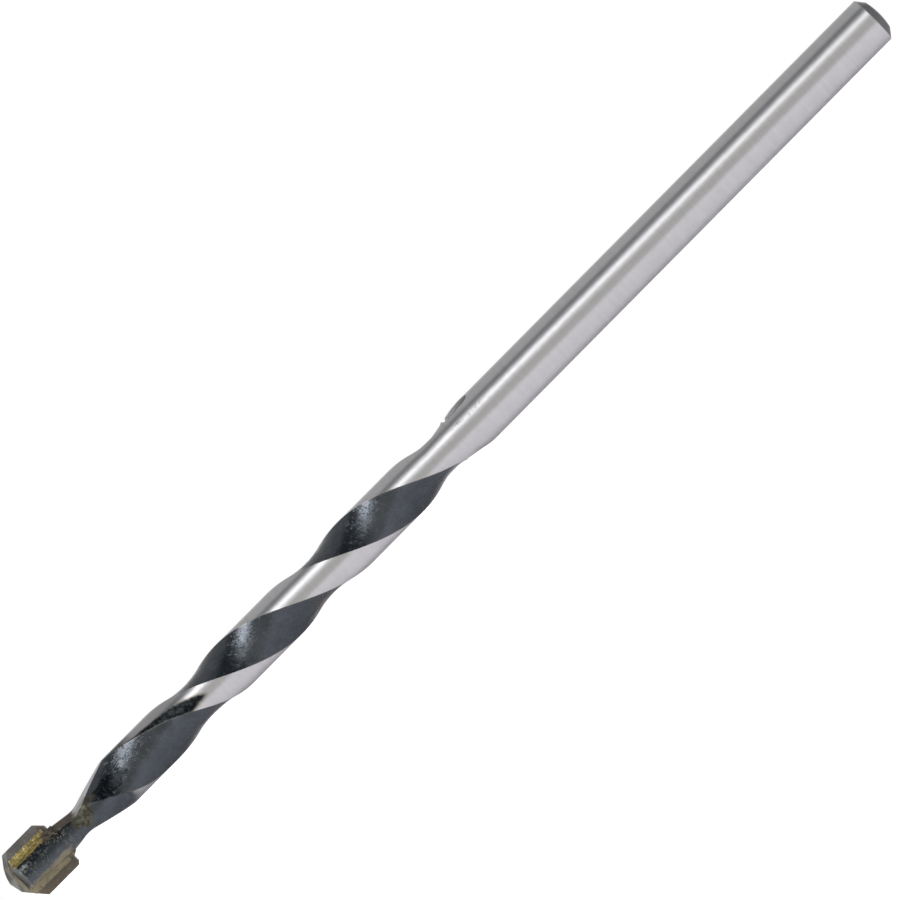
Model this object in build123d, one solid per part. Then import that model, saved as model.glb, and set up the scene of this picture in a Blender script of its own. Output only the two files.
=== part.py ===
from build123d import *
from math import cos, degrees, radians, sin, tan
import os

# Small masonry drill bit: a twisted steel body, a carbide plate set in its slotted head
# and the braze that holds the plate.
#
# The drill is built in the tool's own frame: Z runs along the axis from the point (Z = 0)
# to the end of the shank, X lies along the plate's width and Y across its thickness.
# It is laid down at the end with its axis along +X, on the ground edge of its plate, which
# keeps it from rolling. Millimetres and degrees.

# Whole drill
overall_length = 60.0
shank_diameter = 2.6
shank_end_chamfer = 0.45

# Flutes: two right-hand starts, shallow, each one gentle arc from land to land. The lands
# between them are ground with a slight back taper, from the head down to the shank.
flute_starts = 2
land_front_diameter = 2.64
core_diameter = 1.98
helix_lead = 16.8
land_angle = 73.0
twist_start = 4.45
twist_end = 29.2

# Run-out of the flutes: the mouth narrows at full depth, then the floor climbs to the shank
runout_narrow_length = 0.75
runout_narrow_half_angle = 46.0
runout_narrow_turn = 7.0
runout_climb_length = 2.7
runout_end_half_angle = 14.0
runout_end_turn = 30.0
runout_end_rise = 0.01
runout_climb_steps = 5

# Carbide plate: its point is ground unevenly, so the two lips and rear corners differ
plate_wings = 2
plate_width = 3.0
plate_thickness = 1.0
plate_height = 3.24
plus_x_lip_slope = 27.0
minus_x_lip_slope = 40.0
lip_relief = 20.0
chisel_offset = 0.2
plus_x_rear_chamfer = 0.45
minus_x_rear_chamfer = 0.16

# Slotted head: two cheeks with ground sides, then a waist where the sides are cut deeper
cheek_front = 0.55
cheek_front_slope = 25.0
cheek_front_half_width = 0.6
cheek_rear = 3.4
cheek_rear_half_width = 0.84
waist_fall_slope = 10.0
waist_ramp_slope = 15.0
waist_ramp_end = 7.06
waist_radius = 1.5
waist_turn = 8.0

# Braze: a film in the slot, and beads in the corners between plate and cheeks
braze_film = 0.05
bead_front = 0.62
bead_rear = 3.05
bead_reach = 1.08
bead_height = 0.34
bead_hollow = 0.05
rear_bead_reach = 1.02
rear_bead_length = 0.3

# Room by which a cutting shape runs past the material that it cuts
cut_past = 0.4

shank_radius = shank_diameter / 2
land_front_radius = land_front_diameter / 2
core_radius = core_diameter / 2
cutter_radius = shank_radius + cut_past
flute_half_angle = (360.0 / flute_starts - land_angle) / 2
half_plate = plate_width / 2
half_thickness = plate_thickness / 2
slot_half_width = half_thickness + braze_film
slot_bottom = plate_height + braze_film
twist_angle = 360.0 * (twist_end - twist_start) / helix_lead
climb_start = twist_end + runout_narrow_length
runout_end = climb_start + runout_climb_length

# The tool's frame, laid down: the point towards -X and one edge of the plate on Z = 0
lying = Plane(origin=(-overall_length / 2, 0, half_plate), x_dir=(0, 0, 1), z_dir=(1, 0, 0))


def polar(radius, angle):
    """A point of the XY plane, from its distance to the axis and its angle."""
    return (radius * cos(radians(angle)), radius * sin(radians(angle)))


def between(first, last, share):
    """The value at a share of the way from the first value to the last."""
    return first + (last - first) * share


def rise(run, slope):
    """How far a line climbs over a run at a slope in degrees."""
    return run * tan(radians(slope))


def around_axis(shape, count):
    """Copies of a shape, spaced evenly around the drill's axis."""
    return [shape.rotate(Axis.Z, 360.0 / count * index) for index in range(count)]


def across(points):
    """A profile drawn in X and Z, run right through the drill across its thickness."""
    return extrude(Plane.XZ * make_face(Polyline(*points, close=True)), cutter_radius, both=True)


def ground_bar():
    """The round bar, from behind the point to the chamfered end of the shank."""
    return revolve(Plane.XZ * make_face(Polyline(
        (0, cheek_front),
        (land_front_radius, cheek_front),
        (shank_radius, runout_end),
        (shank_radius, overall_length - shank_end_chamfer),
        (shank_radius - shank_end_chamfer, overall_length),
        (0, overall_length),
        close=True,
    )), Axis.Z)


def flute_section(floor_radius, edge_radius, half_angle, level):
    """Section of the space that one flute leaves free, centred on +X at the given level.

    Its floor is one arc, from the edge of one land over the core to the edge of the next.
    """
    floor_low, floor_high = polar(edge_radius, -half_angle), polar(edge_radius, half_angle)
    mouth_low, mouth_high = polar(cutter_radius, -half_angle), polar(cutter_radius, half_angle)
    return Pos(0, 0, level) * make_face([
        ThreePointArc(floor_low, (floor_radius, 0), floor_high),
        Line(floor_high, mouth_high),
        ThreePointArc(mouth_high, (cutter_radius, 0), mouth_low),
        Line(mouth_low, floor_low),
    ])


def full_section(level):
    """Section of a flute at its full depth and width."""
    return flute_section(core_radius, shank_radius, flute_half_angle, level)


def straight_flute():
    """The untwisted stretch of one flute, along the head."""
    return extrude(full_section(0), twist_start)


def twisted_flute():
    """The helical stretch of one flute, from the head to the start of its run-out."""
    climb = Vector(0, 0, twist_end - twist_start)
    section = full_section(twist_start).face()
    return Solid.extrude_linear_with_rotation(section, (0, 0, twist_start), climb, twist_angle)


def climbing_section(share):
    """Section at a share of the climb, between the narrowed flute and the plain shank."""
    section = flute_section(
        between(core_radius, shank_radius + runout_end_rise, share),
        between(shank_radius, shank_radius + runout_end_rise, share),
        between(runout_narrow_half_angle, runout_end_half_angle, share),
        between(climb_start, runout_end, share),
    )
    return section.rotate(Axis.Z, between(runout_narrow_turn, runout_end_turn, share))


def flute_runout():
    """Run-out of one flute: it narrows, then climbs out, still turning a little."""
    sections = [full_section(twist_end)]
    sections += [climbing_section(step / runout_climb_steps) for step in range(runout_climb_steps + 1)]
    return loft(sections, ruled=True).rotate(Axis.Z, twist_angle)


def cheek_side():
    """What is ground off one side of the head, beside the cheeks."""
    return across([
        (cheek_front_half_width, 0),
        (cheek_rear_half_width, cheek_rear),
        (cutter_radius, cheek_rear),
        (cutter_radius, 0),
    ])


def waist_side():
    """What is ground off one side behind the head: it falls to the waist and ramps out."""
    fall = Vector(sin(radians(-waist_fall_slope)), cos(radians(waist_fall_slope)))
    ramp = Vector(-sin(radians(waist_ramp_slope)), -cos(radians(waist_ramp_slope)))
    shoulder = Vector(cheek_rear_half_width, cheek_rear)
    ramp_end = Vector(shank_radius, waist_ramp_end)
    gap = ramp_end - shoulder
    turn = fall.X * ramp.Y - fall.Y * ramp.X
    waist = shoulder + fall * ((gap.X * ramp.Y - gap.Y * ramp.X) / turn)
    past_end = ramp_end - ramp * (cut_past / sin(radians(waist_ramp_slope)))
    outline = make_face(Polyline(shoulder, waist, past_end, (past_end.X, shoulder.Y), close=True))
    corner = outline.vertices().sort_by_distance((waist.X, waist.Y))[0]
    side = extrude(Plane.XZ * fillet(corner, waist_radius), cutter_radius, both=True)
    return side.rotate(Axis.Z, waist_turn)


def cheek_relief():
    """What is ground off the front of the cheeks, sloping back from the plate's faces."""
    outer_level = cheek_front + rise(cutter_radius - half_thickness, cheek_front_slope)
    profile = make_face(Polyline(
        (-cutter_radius, outer_level),
        (-half_thickness, cheek_front),
        (half_thickness, cheek_front),
        (cutter_radius, outer_level),
        (cutter_radius, 0),
        (-cutter_radius, 0),
        close=True,
    ))
    return extrude(Plane.YZ * profile, cutter_radius, both=True)


def slot():
    """The slot across the head that takes the plate."""
    return Pos(0, 0, slot_bottom / 2) * Box(2 * cutter_radius, 2 * slot_half_width, slot_bottom)


def point_grinding():
    """What the two relief faces of the point take off plate, cheeks and braze alike."""
    chisel_end = (chisel_offset, -half_thickness, 0)
    plus_x = Plane(origin=chisel_end, z_dir=(-rise(1, plus_x_lip_slope), -rise(1, lip_relief), 1))
    minus_x = Plane(origin=chisel_end, z_dir=(rise(1, minus_x_lip_slope), rise(1, lip_relief), 1))
    block = Pos(0, 0, -plate_width) * Box(4 * plate_width, 4 * plate_width, 2 * plate_width)
    return [plus_x * block, minus_x * block]


def head_blank():
    """The bar with its flutes, cheeks and waist cut, before the slot is made."""
    cuts = []
    for cutter in (straight_flute(), twisted_flute(), flute_runout()):
        cuts += around_axis(cutter, flute_starts)
    for cutter in (cheek_side(), waist_side()):
        cuts += around_axis(cutter, plate_wings)
    return ground_bar() - cuts - cheek_relief()


def steel_body(blank):
    """The steel, with the slot for the plate and the ground front."""
    return blank - slot() - point_grinding()


def carbide_tip():
    """The plate, with its ground point and broken rear corners."""
    plate = Pos(0, 0, plate_height / 2) * Box(plate_width, plate_thickness, plate_height)
    rear_edges = plate.edges().filter_by(Axis.Y).group_by(Axis.Z)[-1].sort_by(Axis.X)
    plate = chamfer(rear_edges[-1], plus_x_rear_chamfer)
    rear_edges = plate.edges().filter_by(Axis.Y).sort_by(Axis.X)
    lowest_x = rear_edges.group_by(Axis.X)[0].sort_by(Axis.Z)
    return chamfer(lowest_x[-1], minus_x_rear_chamfer) - point_grinding()


def side_beads():
    """Braze beads along the corners between the plate's faces and the cheeks' sides."""
    inside = cheek_front_half_width - cut_past
    top = (cheek_front_half_width, half_thickness + bead_height)
    outline = make_face([
        Line((inside, top[1]), (inside, half_thickness)),
        Line((inside, half_thickness), (bead_reach, half_thickness)),
        SagittaArc((bead_reach, half_thickness), top, bead_hollow),
        Line(top, (inside, top[1])),
    ])
    bead = extrude(Pos(0, 0, bead_front) * outline, bead_rear - bead_front)
    beads = [bead, bead.mirror(Plane.YZ)]
    return beads + [one.mirror(Plane.XZ) for one in beads]


def rear_bead():
    """Braze bead in one corner between the plate's rear edge and the steel."""
    inside = cheek_rear_half_width - cut_past
    outline = make_face(Polyline(
        (inside, plate_height),
        (rear_bead_reach, plate_height),
        (cheek_rear_half_width, plate_height + rear_bead_length),
        (inside, plate_height + rear_bead_length),
        close=True,
    ))
    return extrude(Plane.XZ * outline, half_thickness, both=True)


def braze(blank, body, plate):
    """The film that fills the slot around the plate, and the beads outside it."""
    film = blank & slot()
    filled = film + side_beads() + around_axis(rear_bead(), plate_wings)
    return filled - body - plate - cheek_relief() - point_grinding()


def main():
    os.makedirs("parts", exist_ok=True)
    blank = head_blank()
    body = steel_body(blank)
    plate = carbide_tip()
    pieces = {"steel_body": body, "carbide_tip": plate, "braze": braze(blank, body, plate)}
    for name, piece in pieces.items():
        export_step(lying.location * piece, f"parts/{name}.step")


main()
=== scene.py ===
from contextlib import contextmanager
from functools import cache, partialmethod
from math import cos, pi, radians, sin, tan
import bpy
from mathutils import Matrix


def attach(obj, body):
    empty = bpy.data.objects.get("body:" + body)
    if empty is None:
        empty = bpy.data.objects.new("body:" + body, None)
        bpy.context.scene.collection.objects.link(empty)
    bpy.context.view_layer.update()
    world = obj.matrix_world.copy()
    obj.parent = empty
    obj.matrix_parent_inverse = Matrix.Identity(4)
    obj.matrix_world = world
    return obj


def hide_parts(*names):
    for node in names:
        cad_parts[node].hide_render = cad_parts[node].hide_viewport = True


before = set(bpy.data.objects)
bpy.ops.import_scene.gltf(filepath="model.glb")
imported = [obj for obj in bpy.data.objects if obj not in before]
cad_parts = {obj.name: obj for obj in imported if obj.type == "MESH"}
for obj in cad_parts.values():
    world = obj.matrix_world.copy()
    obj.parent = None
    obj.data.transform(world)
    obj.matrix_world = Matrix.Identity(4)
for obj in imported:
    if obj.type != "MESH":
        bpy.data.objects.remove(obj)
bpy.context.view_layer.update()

from types import SimpleNamespace

import bmesh
import bpy
from bpy.props import FloatProperty, FloatVectorProperty, PointerProperty
from mathutils import Matrix, Vector

bl_info = {
    "name": "Masonry Drill",
    "version": (1, 0, 0),
    "blender": (4, 5, 0),
    "location": "3D View > Sidebar > Drill",
    "description": "Small masonry drill with a carbide plate, its finishes and its studio",
    "category": "Object",
}

MM = 0.001
BODY = "root"

# Height of the drill's axis above the floor: half of the plate's width
AXIS_HEIGHT = 1.5 * MM


# Sizes and colours

def length(name, millimetres, description):
    """A length, given in millimetres and kept in metres."""
    return FloatProperty(name=name, default=millimetres * MM, precision=5, step=0.01, unit="LENGTH",
                         description=description)


def angle(name, degrees, description):
    """An angle, given in degrees."""
    return FloatProperty(name=name, default=radians(degrees), subtype="ANGLE", description=description)


def strength(name, value, description):
    """A plain factor that is never negative."""
    return FloatProperty(name=name, default=value, soft_min=0.0, description=description)


def tint(name, red, green, blue, description):
    """A linear colour."""
    return FloatVectorProperty(name=name, default=(red, green, blue), size=3, subtype="COLOR",
                               min=0.0, soft_max=1.0, description=description)


class DrillBodySizes(bpy.types.PropertyGroup):
    """Sizes of the twisted steel body."""

    overall: length("Overall length", 60.0, "From the point of the plate to the end of the shank")
    shank_radius: length("Shank radius", 1.3, "Radius of the plain shank")
    end_chamfer: length("End chamfer", 0.45, "Chamfer round the end of the shank")
    end_crown: length("End crown", 0.1, "How far the end face falls from its middle to its chamfer")
    front: length("Front", 0.55, "Distance of the cheeks from the point")
    land_radius: length("Land radius", 1.32, "Radius of the ground lands at the head")
    core_radius: length("Core radius", 0.99, "Distance of the flutes' floor from the axis")
    lead: length("Lead", 16.8, "Travel of one full turn of a flute")
    flute_half: angle("Flute half angle", 53.5, "Half of the angle that a flute takes up")
    twist_start: length("Twist start", 4.45, "Where the flutes begin to turn")
    twist_end: length("Twist end", 29.2, "Where the flutes stop turning at their full width")
    narrow_length: length("Narrowing", 0.75, "Stretch where a flute narrows at full depth")
    narrow_half: angle("Narrowed half angle", 46.0, "Half angle of a flute after its narrowing")
    narrow_turn: angle("Turn while narrowing", 7.0, "Turn of a flute over its narrowing")
    climb_length: length("Climb", 2.7, "Stretch where the floor climbs to the shank")
    climb_half: angle("Half angle after the climb", 14.0, "Half angle where a flute ends")
    climb_turn: angle("Turn at the end", 30.0, "Turn of a flute from its twist's end to its end")
    climb_rise: length("Rise past the shank", 0.01, "How far the floor ends above the shank")
    scale_relief: length("Scale relief", 0.012, "Depth of the rough skin in the flutes")


class DrillHeadSizes(bpy.types.PropertyGroup):
    """Sizes of the slotted head."""

    cheek_front_half: length("Cheek half width, front", 0.6, "Half width of the cheeks at the point")
    cheek_rear_half: length("Cheek half width, rear", 0.84, "Half width of the cheeks at their end")
    cheek_rear: length("Cheek end", 3.4, "Where the cheeks end and the waist begins")
    waist_shoulder: length("Waist shoulder", 0.68, "Half width of the waist where it begins")
    cheek_slope: angle("Cheek front slope", 25.0, "How far the cheeks' fronts lean back")
    fall_slope: angle("Fall to the waist", 9.0, "Slope by which the head falls to its waist")
    waist_lean: length("Waist lean", 0.06, "How far the waist stands towards the lower wing")
    upper_ramp: angle("Upper ramp", 17.5, "Slope by which the waist runs out on the upper side")
    upper_ramp_end: length("Upper ramp end", 7.45, "Where the upper ramp reaches the shank's radius")
    lower_ramp: angle("Lower ramp", 16.5, "Slope by which the waist runs out on the lower side")
    lower_ramp_end: length("Lower ramp end", 7.25, "Where the lower ramp reaches the shank's radius")
    waist_radius: length("Waist radius", 1.5, "Rounding of the waist")
    waist_turn: angle("Waist turn", 8.0, "Turn of the waist about the axis")
    slot_half: length("Slot half width", 0.55, "Half width of the slot for the plate")
    slot_depth: length("Slot depth", 3.29, "Distance of the slot's bottom from the point")


class DrillPlateSizes(bpy.types.PropertyGroup):
    """Sizes of the carbide plate."""

    width: length("Width", 3.0, "Width of the plate across the drill")
    thickness: length("Thickness", 1.0, "Thickness of the plate")
    height: length("Height", 3.24, "Length of the plate along the drill")
    minus_slope: angle("Lower lip slope", 40.0, "Slope of the lower lip")
    relief: angle("Lip relief", 20.0, "How far the ground lips fall back")
    chisel_offset: length("Chisel offset", 0.2, "How far the chisel end stands off the axis")
    plus_chamfer: length("Upper rear chamfer", 0.45, "Chamfer of the upper rear corner")
    minus_chamfer: length("Lower rear chamfer", 0.16, "Chamfer of the lower rear corner")
    edge: length("Edge rounding", 0.018, "Width of the broken edges")
    dice: length("Dice", 0.05, "Spacing of the mesh that carries the grain")
    grain: length("Grain", 0.012, "Depth of the sintered grain and of the small chips")


class DrillBrazeSizes(bpy.types.PropertyGroup):
    """Sizes of the braze."""

    voxel: length("Voxel", 0.024, "Size of the cells in which the braze is remeshed")
    lump: length("Lumps", 0.05, "Height of the lumps on the beads")
    grain: length("Grain", 0.02, "Height of the fine grain")


class DrillColours(bpy.types.PropertyGroup):
    """Colours of the finishes, as the metal reflects them."""

    ground: tint("Ground steel", 0.56, 0.552, 0.57, "Bright ground steel")
    oxide: tint("Blued flute", 0.078, 0.086, 0.099, "Blue-grey skin of the flutes")
    scale: tint("Scale", 0.012, 0.015, 0.018, "Black scale")
    speckle: tint("Speckle", 0.105, 0.112, 0.112, "Pale specks in the scale")
    straw: tint("Straw", 0.30, 0.25, 0.185, "Straw tint along the edges of the lands")
    flux: tint("Flux", 0.125, 0.115, 0.083, "Glassy residue of the brazing flux")
    pale_flux: tint("Pale flux", 0.46, 0.41, 0.27, "Pale flecks of flux and spattered braze")
    rust: tint("Rust", 0.11, 0.08, 0.058, "Rust-brown film")
    carbide: tint("Carbide", 0.19, 0.185, 0.175, "Sintered carbide")
    stained: tint("Stained", 0.245, 0.22, 0.163, "Carbide and steel under a film of flux")
    brass: tint("Braze", 0.35, 0.28, 0.1, "Brass-yellow braze")
    dull_brass: tint("Dull braze", 0.19, 0.15, 0.06, "Braze in its hollows")
    floor: tint("Floor", 0.93, 0.92, 0.95, "Pale floor")


class DrillStudio(bpy.types.PropertyGroup):
    """Camera and light."""

    distance: length("Distance", 450.0, "Distance of the camera from the drill")
    view_width: length("View width", 43.86, "Width of the picture at the drill")
    roll: angle("Roll", 45.27, "How far the drill leans up to the right in the picture")
    shift_right: length("Shift right", 0.2, "How far the picture's middle is right of the drill's")
    shift_up: length("Shift up", 0.034, "How far the picture's middle is above the drill's")
    softbox: strength("Softbox", 6.6, "Radiance of the softbox")
    ambient: strength("Ambient", 0.62, "Strength of the light from all sides")
    floor_glow: strength("Floor glow", 0.25, "White added to the floor where a gloss shows it")
    floor_white: strength("Floor white", 0.44, "White added to the floor where the camera sees it")


class DrillSettings(bpy.types.PropertyGroup):
    """All that a user may change."""

    body: PointerProperty(type=DrillBodySizes)
    head: PointerProperty(type=DrillHeadSizes)
    plate: PointerProperty(type=DrillPlateSizes)
    braze: PointerProperty(type=DrillBrazeSizes)
    colours: PointerProperty(type=DrillColours)
    studio: PointerProperty(type=DrillStudio)


def settings():
    """The scene's own settings of the drill."""
    return bpy.context.scene.masonry_drill


# Arithmetic in node trees

class Term:
    """A value in a node tree, so that a rule is written as plain arithmetic."""

    def __init__(self, tree, socket):
        self.tree = tree
        self.socket = socket

    def math(self, operation, *others, clamp=False):
        """A Math node on this value and others."""
        node = place(self.tree, "ShaderNodeMath", dict(enumerate((self, *others))),
                     operation=operation, use_clamp=clamp)
        return Term(self.tree, node.outputs[0])

    __add__ = partialmethod(math, "ADD")
    __sub__ = partialmethod(math, "SUBTRACT")
    __mul__ = partialmethod(math, "MULTIPLY")
    __truediv__ = partialmethod(math, "DIVIDE")
    __neg__ = partialmethod(math, "MULTIPLY", -1.0)
    absolute = partialmethod(math, "ABSOLUTE")
    clamped = partialmethod(math, "ADD", 0.0, clamp=True)
    cosine = partialmethod(math, "COSINE")
    least = partialmethod(math, "MINIMUM")
    most = partialmethod(math, "MAXIMUM")
    sine = partialmethod(math, "SINE")

    def __rsub__(self, other):
        return -self + other

    def squared(self):
        return self * self

    def map_range(self, limits, kind="LINEAR"):
        node = place(self.tree, "ShaderNodeMapRange", {"Value": self, **limits}, interpolation_type=kind)
        return Term(self.tree, node.outputs["Result"])

    def ramp(self, low, high, kind="SMOOTHSTEP"):
        """Nothing at low, one at high."""
        return self.map_range({"From Min": low, "From Max": high}, kind)

    def between(self, low, high):
        """The value at this share of the way from low to high."""
        return self.map_range({"To Min": low, "To Max": high})


def give(tree, socket, value):
    """Set a socket to a plain value, or link it to a term or another socket."""
    if isinstance(value, Term):
        value = value.socket
    if isinstance(value, bpy.types.NodeSocket):
        tree.links.new(value, socket)
    elif socket.type == "RGBA" and len(value) == 3:
        socket.default_value = (*value, 1.0)
    else:
        socket.default_value = value


def place(tree, kind, values=None, **options):
    """A node with its options and inputs set."""
    node = tree.nodes.new(kind)
    for name, value in options.items():
        setattr(node, name, value)
    for name, value in (values or {}).items():
        give(tree, node.inputs[name], value)
    return node


def vector_math(tree, operation, first, second):
    return place(tree, "ShaderNodeVectorMath", {0: first, 1: second}, operation=operation).outputs[0]


def scaled(tree, vector, factor):
    """A vector times a number."""
    return place(tree, "ShaderNodeVectorMath", {0: vector, "Scale": factor}, operation="SCALE").outputs[0]


def combined(tree, x, y, z):
    """A vector from its three parts."""
    return place(tree, "ShaderNodeCombineXYZ", {"X": x, "Y": y, "Z": z}).outputs[0]


def blend(tree, mask, first, second):
    """A colour between two, by a mask, from the sockets of a Mix node that hold colours."""
    return place(tree, "ShaderNodeMix", {"Factor": mask, 6: first, 7: second}, data_type="RGBA").outputs[2]


def noise(tree, vector, features, detail=2.0, roughness=0.5, distortion=0.0):
    """Noise with so many features in each unit of the vector."""
    node = place(tree, "ShaderNodeTexNoise", {"Vector": vector, "Scale": features, "Detail": detail,
                                              "Roughness": roughness, "Distortion": distortion})
    return Term(tree, node.outputs[0])


# Kinds of the groups' sockets that aren't plain numbers
SOCKET_KINDS = {"geometry": "Geometry", "where": "Vector", "centre": "Vector", "size": "Vector"}


def label(key):
    """The name of a group's socket, in words."""
    return key.replace("_", " ").capitalize()


def new_group(name, kind, inputs, outputs):
    """A node group whose sockets are given by their keys: its tree and the terms of its inputs."""
    tree = bpy.data.node_groups.new(name, f"{kind}NodeTree")
    for direction, keys in (("INPUT", inputs), ("OUTPUT", outputs)):
        for key in keys:
            socket = f"NodeSocket{SOCKET_KINDS.get(key, 'Float')}"
            tree.interface.new_socket(label(key), in_out=direction, socket_type=socket)
    entry = tree.nodes.new("NodeGroupInput").outputs
    return tree, SimpleNamespace(**{key: Term(tree, entry[label(key)]) for key in inputs})


def put_out(tree, *values):
    """Ends a group: its outputs, in their order."""
    for socket, value in zip(tree.nodes.new("NodeGroupOutput").inputs, values):
        give(tree, socket, value)
    return tree


def apply_tree(piece, tree, **values):
    """Runs a tree on a piece, with its inputs set by their sockets' identifiers."""
    modifier = piece.modifiers.new(tree.name, "NODES")
    modifier.node_group = tree
    identifiers = {item.name: item.identifier for item in tree.interface.items_tree
                   if item.in_out == "INPUT"}
    for key, value in values.items():
        modifier[identifiers[label(key)]] = value
    settle(piece)


def finish_geometry(tree, geometry, materials):
    """Ends a tree: real instances, then each material where its selection says."""
    geometry = place(tree, "GeometryNodeRealizeInstances", {"Geometry": geometry}).outputs[0]
    for material, selection in materials:
        values = {"Geometry": geometry, "Material": material, "Selection": selection}
        geometry = place(tree, "GeometryNodeSetMaterial", values).outputs[0]
    return put_out(tree, geometry)


# Rule of the fluted bar, as Geometry Nodes

BAR_SIZES = tuple(DrillBodySizes.__annotations__)

# Attributes that the blank's points carry to the rule
BLANK_FIELDS = ("station", "bearing", "start", "inward")

# Attributes that the body carries to its materials: share of the way from a flute's middle to
# its edge, and distance behind the edge that leads a land, in millimetres
ACROSS = "across"
BEHIND = "behind"

# Burrs, a nick and low places where the flutes run out: distance from the point, angle about
# the axis, height, half length and half width, in millimetres and degrees
RUNOUT_MARKS = [
    (29.50, 0.0, -0.05, 0.9, 60.0),
    (29.50, 180.0, -0.08, 0.9, 60.0),
    (31.15, 180.0, -0.07, 0.5, 45.0),
    (30.78, -10.0, 0.045, 0.07, 26.0),
    (30.96, -15.0, -0.16, 0.075, 28.0),
    (30.42, 183.0, 0.05, 0.05, 12.0),
]

# Where the first flute is ground wider: side of its centre, distance from the point, reach
# along the drill and angle, in millimetres and degrees
WIDENINGS = [(-1, 11.9, 2.6, 18.0), (1, 8.6, 1.6, 15.0)]

# The lands are blued all over up to here, in millimetres from the point
BLUED_LAND = 7.3

# Least depth of a flute that gets the flutes' skin, in millimetres
SKIN_DEPTH = 0.001

# Radius at which the pattern of the rough skin is wound round the drill, in millimetres
SKIN_RADIUS = 1.2


def named_field(tree, name):
    node = place(tree, "GeometryNodeInputNamedAttribute", {"Name": name}, data_type="FLOAT")
    return Term(tree, node.outputs["Attribute"])


def fluted_bar_tree(steel, skin):
    """Moves the points of a plain blank to the rule of the fluted bar."""
    tree, size = new_group("Fluted bar", "Geometry", ("geometry", *BAR_SIZES), ("geometry",))
    station, bearing, start, inward = [named_field(tree, name) for name in BLANK_FIELDS]

    turned = (station - size.twist_start).most(0.0).least(size.twist_end - size.twist_start)
    turned = turned / size.lead * (2.0 * pi)
    narrow = ((station - size.twist_end) / size.narrow_length).clamped()
    climb_start = size.twist_end + size.narrow_length
    climb = ((station - climb_start) / size.climb_length).clamped()
    centre = turned + size.narrow_turn * narrow + (size.climb_turn - size.narrow_turn) * climb
    half = size.flute_half + (size.narrow_half - size.flute_half) * narrow
    half = half + (size.climb_half - size.narrow_half) * climb

    # The first flute is a little wider near the head
    def widened(first, trailing):
        result = half
        for side, where, reach, degrees in WIDENINGS:
            bell = (-((station / MM - where) / reach).squared()).math("EXPONENT")
            chosen = trailing if side > 0 else 1.0 - trailing
            result = result + bell * radians(degrees) * chosen * first
        return result

    # Each column keeps its place between the edges of its flute or land
    trailing = bearing.math("GREATER_THAN", 0.0)
    first = start.math("LESS_THAN", 1.0)
    own = widened(first, trailing)
    reach = bearing.absolute()
    inside = reach.least(size.flute_half) / size.flute_half * own
    land_share = (reach - size.flute_half).most(0.0) / (pi / 2 - size.flute_half)
    off_centre = bearing.math("SIGN") * (inside + land_share * (pi / 2 - own))
    leading_edge = widened(first * (1.0 - trailing) + (1.0 - first) * trailing, 0.0)

    cone_share = 1.0 - (station - size.front) / (climb_start + size.climb_length - size.front)
    bar = size.shank_radius + (size.land_radius - size.shank_radius) * cone_share.clamped()
    outer = bar.least(size.overall - station + size.shank_radius - size.end_chamfer)

    # The floor of a flute is one arc from land to land
    edge = bar + size.climb_rise * climb
    floor = size.core_radius + (size.shank_radius + size.climb_rise - size.core_radius) * climb
    sag = floor - edge * half.cosine()
    arc = (sag.squared() + (edge * half.sine()).squared()) / (sag * 2.0)
    back = arc - floor
    stretched = off_centre * half / own
    leg = back * stretched.sine()
    hollow = (arc.squared() - leg.squared()).math("SQRT") - back * stretched.cosine()
    depth = (outer - hollow).most(0.0)

    # Rough skin in the flutes, and the marks of the run-out
    around = centre + off_centre + start
    grid = combined(tree, station / MM, around.cosine() * SKIN_RADIUS, around.sine() * SKIN_RADIUS)
    rough = (noise(tree, grid, 3.2, 4.0, 0.62) - 0.42).most(0.0) * 2.0
    rough = rough + (noise(tree, grid, 0.9, 1.0) - 0.5)
    relief = rough * (depth / MM).ramp(0.02, 0.12) * size.scale_relief
    radius = outer.least(hollow) - relief * inward
    for where, turn, height, half_length, half_width in RUNOUT_MARKS:
        along = (station / MM - where) / half_length
        offset = around - radians(turn)
        aside = offset.sine().math("ARCTAN2", offset.cosine()) / radians(half_width)
        mark = (-(along.squared() + aside.squared())).math("EXPONENT")
        radius = radius + mark * (height * MM)
    radius = radius * inward

    over = (station - size.overall + size.end_chamfer).most(0.0) / size.end_chamfer
    station = station - over * size.end_crown * inward.squared()
    position = combined(tree, station - size.overall * 0.5, -(radius * around.sine()),
                        radius * around.cosine() + AXIS_HEIGHT)
    geometry = size.geometry
    behind = (trailing * pi - off_centre - leading_edge) * (bar / MM)
    for name, value in ((ACROSS, off_centre.absolute() / own), (BEHIND, behind)):
        values = {"Geometry": geometry, "Name": name, "Value": value}
        geometry = place(tree, "GeometryNodeStoreNamedAttribute", values,
                         data_type="FLOAT", domain="POINT").outputs[0]
    moved = place(tree, "GeometryNodeSetPosition", {"Geometry": geometry, "Position": position})
    in_flute = named_field(tree, "in_flute").math("GREATER_THAN", 0.5)
    cut_deep = (depth / MM).math("GREATER_THAN", SKIN_DEPTH)
    blued = (station / MM).math("LESS_THAN", BLUED_LAND)
    skinned = (in_flute * cut_deep).most(blued)
    return finish_geometry(tree, moved.outputs[0], [(steel, True), (skin, skinned)])


def even_steps(low, high, count):
    return [low + (high - low) * index / count for index in range(count)]


def blank_stations(body):
    """Distances from the point of the blank's rings, closer where the shape changes more."""
    runout_start, runout_past = body.twist_end - 0.6 * MM, 0.1 * MM
    runout_end = body.twist_end + body.narrow_length + body.climb_length + runout_past
    chamfer_start = body.overall - body.end_chamfer
    head_end, before, after = 8.0 * MM, 0.02 * MM, 0.03 * MM
    stations = []
    for low, high, count in ((body.front, head_end, 80), (head_end, runout_start, 200),
                             (runout_start, runout_end, 90), (runout_end, chamfer_start - before, 30)):
        stations += even_steps(low, high, count)
    return stations + [chamfer_start - before, chamfer_start, chamfer_start + after,
                       body.overall - after, body.overall]


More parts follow.
